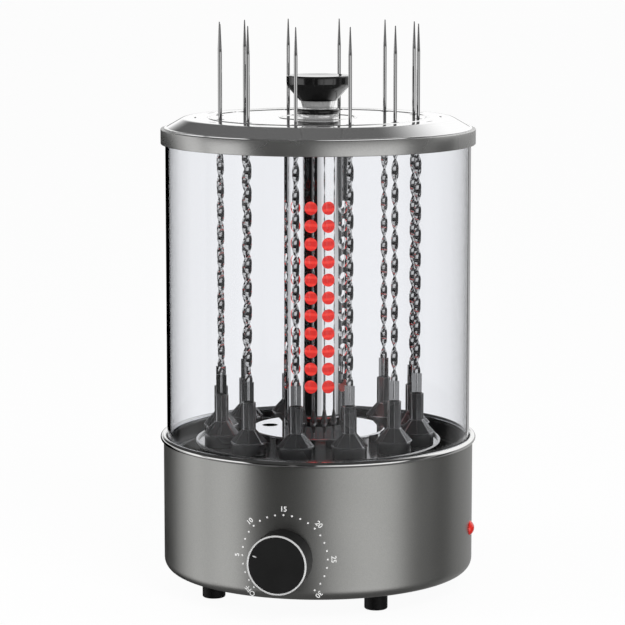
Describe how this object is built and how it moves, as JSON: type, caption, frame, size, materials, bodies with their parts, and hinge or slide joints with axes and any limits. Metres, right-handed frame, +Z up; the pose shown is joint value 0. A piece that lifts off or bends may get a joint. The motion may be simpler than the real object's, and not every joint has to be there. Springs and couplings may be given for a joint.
{
  "type": "electric skewer grill",
  "caption": "Upright electric skewer grill: round metal base with timer knob, glass cylinder, central heater column and geared turning skewers under a vented lid.",
  "frame": {"origin": "on the vertical axis of the grill, in the plane that the feet stand on", "axes": "+Z up along the heater column, -Y towards the timer knob, +X towards the indicator lamp"},
  "size_m": [0.2561, 0.2818, 0.456],
  "materials": {
    "housing_metal": "warm dark grey metallic lacquer, satin",
    "zinc_plate": "zinc plated sheet",
    "foot_rubber": "matt black rubber",
    "well_metal": "grey metallic lacquer, satin",
    "plate_steel": "polished stainless steel",
    "polished_steel": "mirror polished stainless steel",
    "quartz": "clear quartz",
    "element_wire": "glowing red heating coil",
    "white_ceramic": "unglazed white ceramic",
    "clear_glass": "clear borosilicate glass",
    "lid_metal": "mirror top, satin grey band",
    "satin_metal": "turned aluminium",
    "knob_black": "gloss black heat-proof plastic",
    "timer_black": "satin black plastic",
    "chrome_trim": "bright chrome",
    "timer_case": "cream plastic case on a steel plate",
    "lamp_red": "translucent red plastic",
    "gear_nylon": "natural nylon",
    "motor_metal": "zinc plated motor can",
    "holder_metal": "dark grey satin coated casting",
    "skewer_steel": "bright stainless steel"
  },
  "bodies": {
    "base": {"housing_shell": "housing_metal", "bottom_plate": "zinc_plate", "feet": "foot_rubber", "inner_well": "well_metal", "ring_plate": "plate_steel", "centre_plate": "polished_steel", "heater_guard": "polished_steel", "quartz_tube": "quartz", "heating_element": "element_wire", "heater_end_caps": "white_ceramic", "timer": "timer_case", "indicator_lamp": "lamp_red", "cord_gland": "foot_rubber", "gear_deck": "zinc_plate", "gear_motor": "motor_metal"},
    "sun_wheel": {"sun_gear": "gear_nylon"},
    "motor_output": {"motor_pinion": "gear_nylon"},
    "glass": {"glass_cylinder": "clear_glass"},
    "lid": {"lid": "lid_metal", "lid_knob_stem": "satin_metal", "lid_knob": "knob_black"},
    "timer_dial": {"timer_knob": "timer_black", "knob_ring": "chrome_trim"},
    "holder_01": {"holder_01": "holder_metal", "pinion_01": "gear_nylon"},
    "skewer_01": {"skewer_01": "skewer_steel"},
    "holder_02": {"holder_02": "holder_metal", "pinion_02": "gear_nylon"},
    "skewer_02": {"skewer_02": "skewer_steel"},
    "holder_03": {"holder_03": "holder_metal", "pinion_03": "gear_nylon"},
    "skewer_03": {"skewer_03": "skewer_steel"},
    "holder_04": {"holder_04": "holder_metal", "pinion_04": "gear_nylon"},
    "skewer_04": {"skewer_04": "skewer_steel"},
    "holder_05": {"holder_05": "holder_metal", "pinion_05": "gear_nylon"},
    "skewer_05": {"skewer_05": "skewer_steel"},
    "holder_06": {"holder_06": "holder_metal", "pinion_06": "gear_nylon"},
    "skewer_06": {"skewer_06": "skewer_steel"},
    "holder_07": {"holder_07": "holder_metal", "pinion_07": "gear_nylon"},
    "skewer_07": {"skewer_07": "skewer_steel"},
    "holder_08": {"holder_08": "holder_metal", "pinion_08": "gear_nylon"},
    "skewer_08": {"skewer_08": "skewer_steel"},
    "holder_09": {"holder_09": "holder_metal", "pinion_09": "gear_nylon"},
    "skewer_09": {"skewer_09": "skewer_steel"},
    "holder_10": {"holder_10": "holder_metal", "pinion_10": "gear_nylon"},
    "skewer_10": {"skewer_10": "skewer_steel"},
    "holder_11": {"holder_11": "holder_metal", "pinion_11": "gear_nylon"},
    "skewer_11": {"skewer_11": "skewer_steel"},
    "holder_12": {"holder_12": "holder_metal", "pinion_12": "gear_nylon"},
    "skewer_12": {"skewer_12": "skewer_steel"}
  },
  "joints": [
    {"name": "sun_spin", "type": "hinge", "parent": "base", "child": "sun_wheel", "pos_m": [0, 0, 0.089], "axis": [0, 0, 1], "continuous": true},
    {"name": "motor_spin", "type": "hinge", "parent": "base", "child": "motor_output", "pos_m": [0, 0.057, 0.08], "axis": [0, 0, 1], "continuous": true},
    {"name": "glass_lift", "type": "slide", "parent": "base", "child": "glass", "axis": [0, 0, 1], "range_m": [0, 0.36]},
    {"name": "lid_lift", "type": "slide", "parent": "glass", "child": "lid", "axis": [0, 0, 1], "range_m": [0, 0.11]},
    {"name": "timer_turn", "type": "hinge", "parent": "base", "child": "timer_dial", "pos_m": [0, -0.125, 0.049], "axis": [0, -1, 0], "range_deg": [-205, 65]},
    {"name": "holder_spin_01", "type": "hinge", "parent": "base", "child": "holder_01", "pos_m": [0, -0.081, 0.119], "axis": [0, 0, 1], "continuous": true},
    {"name": "skewer_lift_01", "type": "slide", "parent": "holder_01", "child": "skewer_01", "axis": [0, 0, 1], "range_m": [0, 0.12]},
    {"name": "holder_spin_02", "type": "hinge", "parent": "base", "child": "holder_02", "pos_m": [0.0405, -0.07015, 0.119], "axis": [0, 0, 1], "continuous": true},
    {"name": "skewer_lift_02", "type": "slide", "parent": "holder_02", "child": "skewer_02", "axis": [0, 0, 1], "range_m": [0, 0.12]},
    {"name": "holder_spin_03", "type": "hinge", "parent": "base", "child": "holder_03", "pos_m": [0.07015, -0.0405, 0.119], "axis": [0, 0, 1], "continuous": true},
    {"name": "skewer_lift_03", "type": "slide", "parent": "holder_03", "child": "skewer_03", "axis": [0, 0, 1], "range_m": [0, 0.12]},
    {"name": "holder_spin_04", "type": "hinge", "parent": "base", "child": "holder_04", "pos_m": [0.081, 0, 0.119], "axis": [0, 0, 1], "continuous": true},
    {"name": "skewer_lift_04", "type": "slide", "parent": "holder_04", "child": "skewer_04", "axis": [0, 0, 1], "range_m": [0, 0.12]},
    {"name": "holder_spin_05", "type": "hinge", "parent": "base", "child": "holder_05", "pos_m": [0.07015, 0.0405, 0.119], "axis": [0, 0, 1], "continuous": true},
    {"name": "skewer_lift_05", "type": "slide", "parent": "holder_05", "child": "skewer_05", "axis": [0, 0, 1], "range_m": [0, 0.12]},
    {"name": "holder_spin_06", "type": "hinge", "parent": "base", "child": "holder_06", "pos_m": [0.0405, 0.07015, 0.119], "axis": [0, 0, 1], "continuous": true},
    {"name": "skewer_lift_06", "type": "slide", "parent": "holder_06", "child": "skewer_06", "axis": [0, 0, 1], "range_m": [0, 0.12]},
    {"name": "holder_spin_07", "type": "hinge", "parent": "base", "child": "holder_07", "pos_m": [0, 0.081, 0.119], "axis": [0, 0, 1], "continuous": true},
    {"name": "skewer_lift_07", "type": "slide", "parent": "holder_07", "child": "skewer_07", "axis": [0, 0, 1], "range_m": [0, 0.12]},
    {"name": "holder_spin_08", "type": "hinge", "parent": "base", "child": "holder_08", "pos_m": [-0.0405, 0.07015, 0.119], "axis": [0, 0, 1], "continuous": true},
    {"name": "skewer_lift_08", "type": "slide", "parent": "holder_08", "child": "skewer_08", "axis": [0, 0, 1], "range_m": [0, 0.12]},
    {"name": "holder_spin_09", "type": "hinge", "parent": "base", "child": "holder_09", "pos_m": [-0.07015, 0.0405, 0.119], "axis": [0, 0, 1], "continuous": true},
    {"name": "skewer_lift_09", "type": "slide", "parent": "holder_09", "child": "skewer_09", "axis": [0, 0, 1], "range_m": [0, 0.12]},
    {"name": "holder_spin_10", "type": "hinge", "parent": "base", "child": "holder_10", "pos_m": [-0.081, 0, 0.119], "axis": [0, 0, 1], "continuous": true},
    {"name": "skewer_lift_10", "type": "slide", "parent": "holder_10", "child": "skewer_10", "axis": [0, 0, 1], "range_m": [0, 0.12]},
    {"name": "holder_spin_11", "type": "hinge", "parent": "base", "child": "holder_11", "pos_m": [-0.07015, -0.0405, 0.119], "axis": [0, 0, 1], "continuous": true},
    {"name": "skewer_lift_11", "type": "slide", "parent": "holder_11", "child": "skewer_11", "axis": [0, 0, 1], "range_m": [0, 0.12]},
    {"name": "holder_spin_12", "type": "hinge", "parent": "base", "child": "holder_12", "pos_m": [-0.0405, -0.07015, 0.119], "axis": [0, 0, 1], "continuous": true},
    {"name": "skewer_lift_12", "type": "slide", "parent": "holder_12", "child": "skewer_12", "axis": [0, 0, 1], "range_m": [0, 0.12]}
  ],
  "couplings": [
    {"joint": "motor_spin", "follows": "sun_spin", "ratio": -3.75},
    {"joint": "holder_spin_01", "follows": "sun_spin", "ratio": -3.7647},
    {"joint": "holder_spin_02", "follows": "sun_spin", "ratio": -3.7647},
    {"joint": "holder_spin_03", "follows": "sun_spin", "ratio": -3.7647},
    {"joint": "holder_spin_04", "follows": "sun_spin", "ratio": -3.7647},
    {"joint": "holder_spin_05", "follows": "sun_spin", "ratio": -3.7647},
    {"joint": "holder_spin_06", "follows": "sun_spin", "ratio": -3.7647},
    {"joint": "holder_spin_07", "follows": "sun_spin", "ratio": -3.7647},
    {"joint": "holder_spin_08", "follows": "sun_spin", "ratio": -3.7647},
    {"joint": "holder_spin_09", "follows": "sun_spin", "ratio": -3.7647},
    {"joint": "holder_spin_10", "follows": "sun_spin", "ratio": -3.7647},
    {"joint": "holder_spin_11", "follows": "sun_spin", "ratio": -3.7647},
    {"joint": "holder_spin_12", "follows": "sun_spin", "ratio": -3.7647}
  ]
}
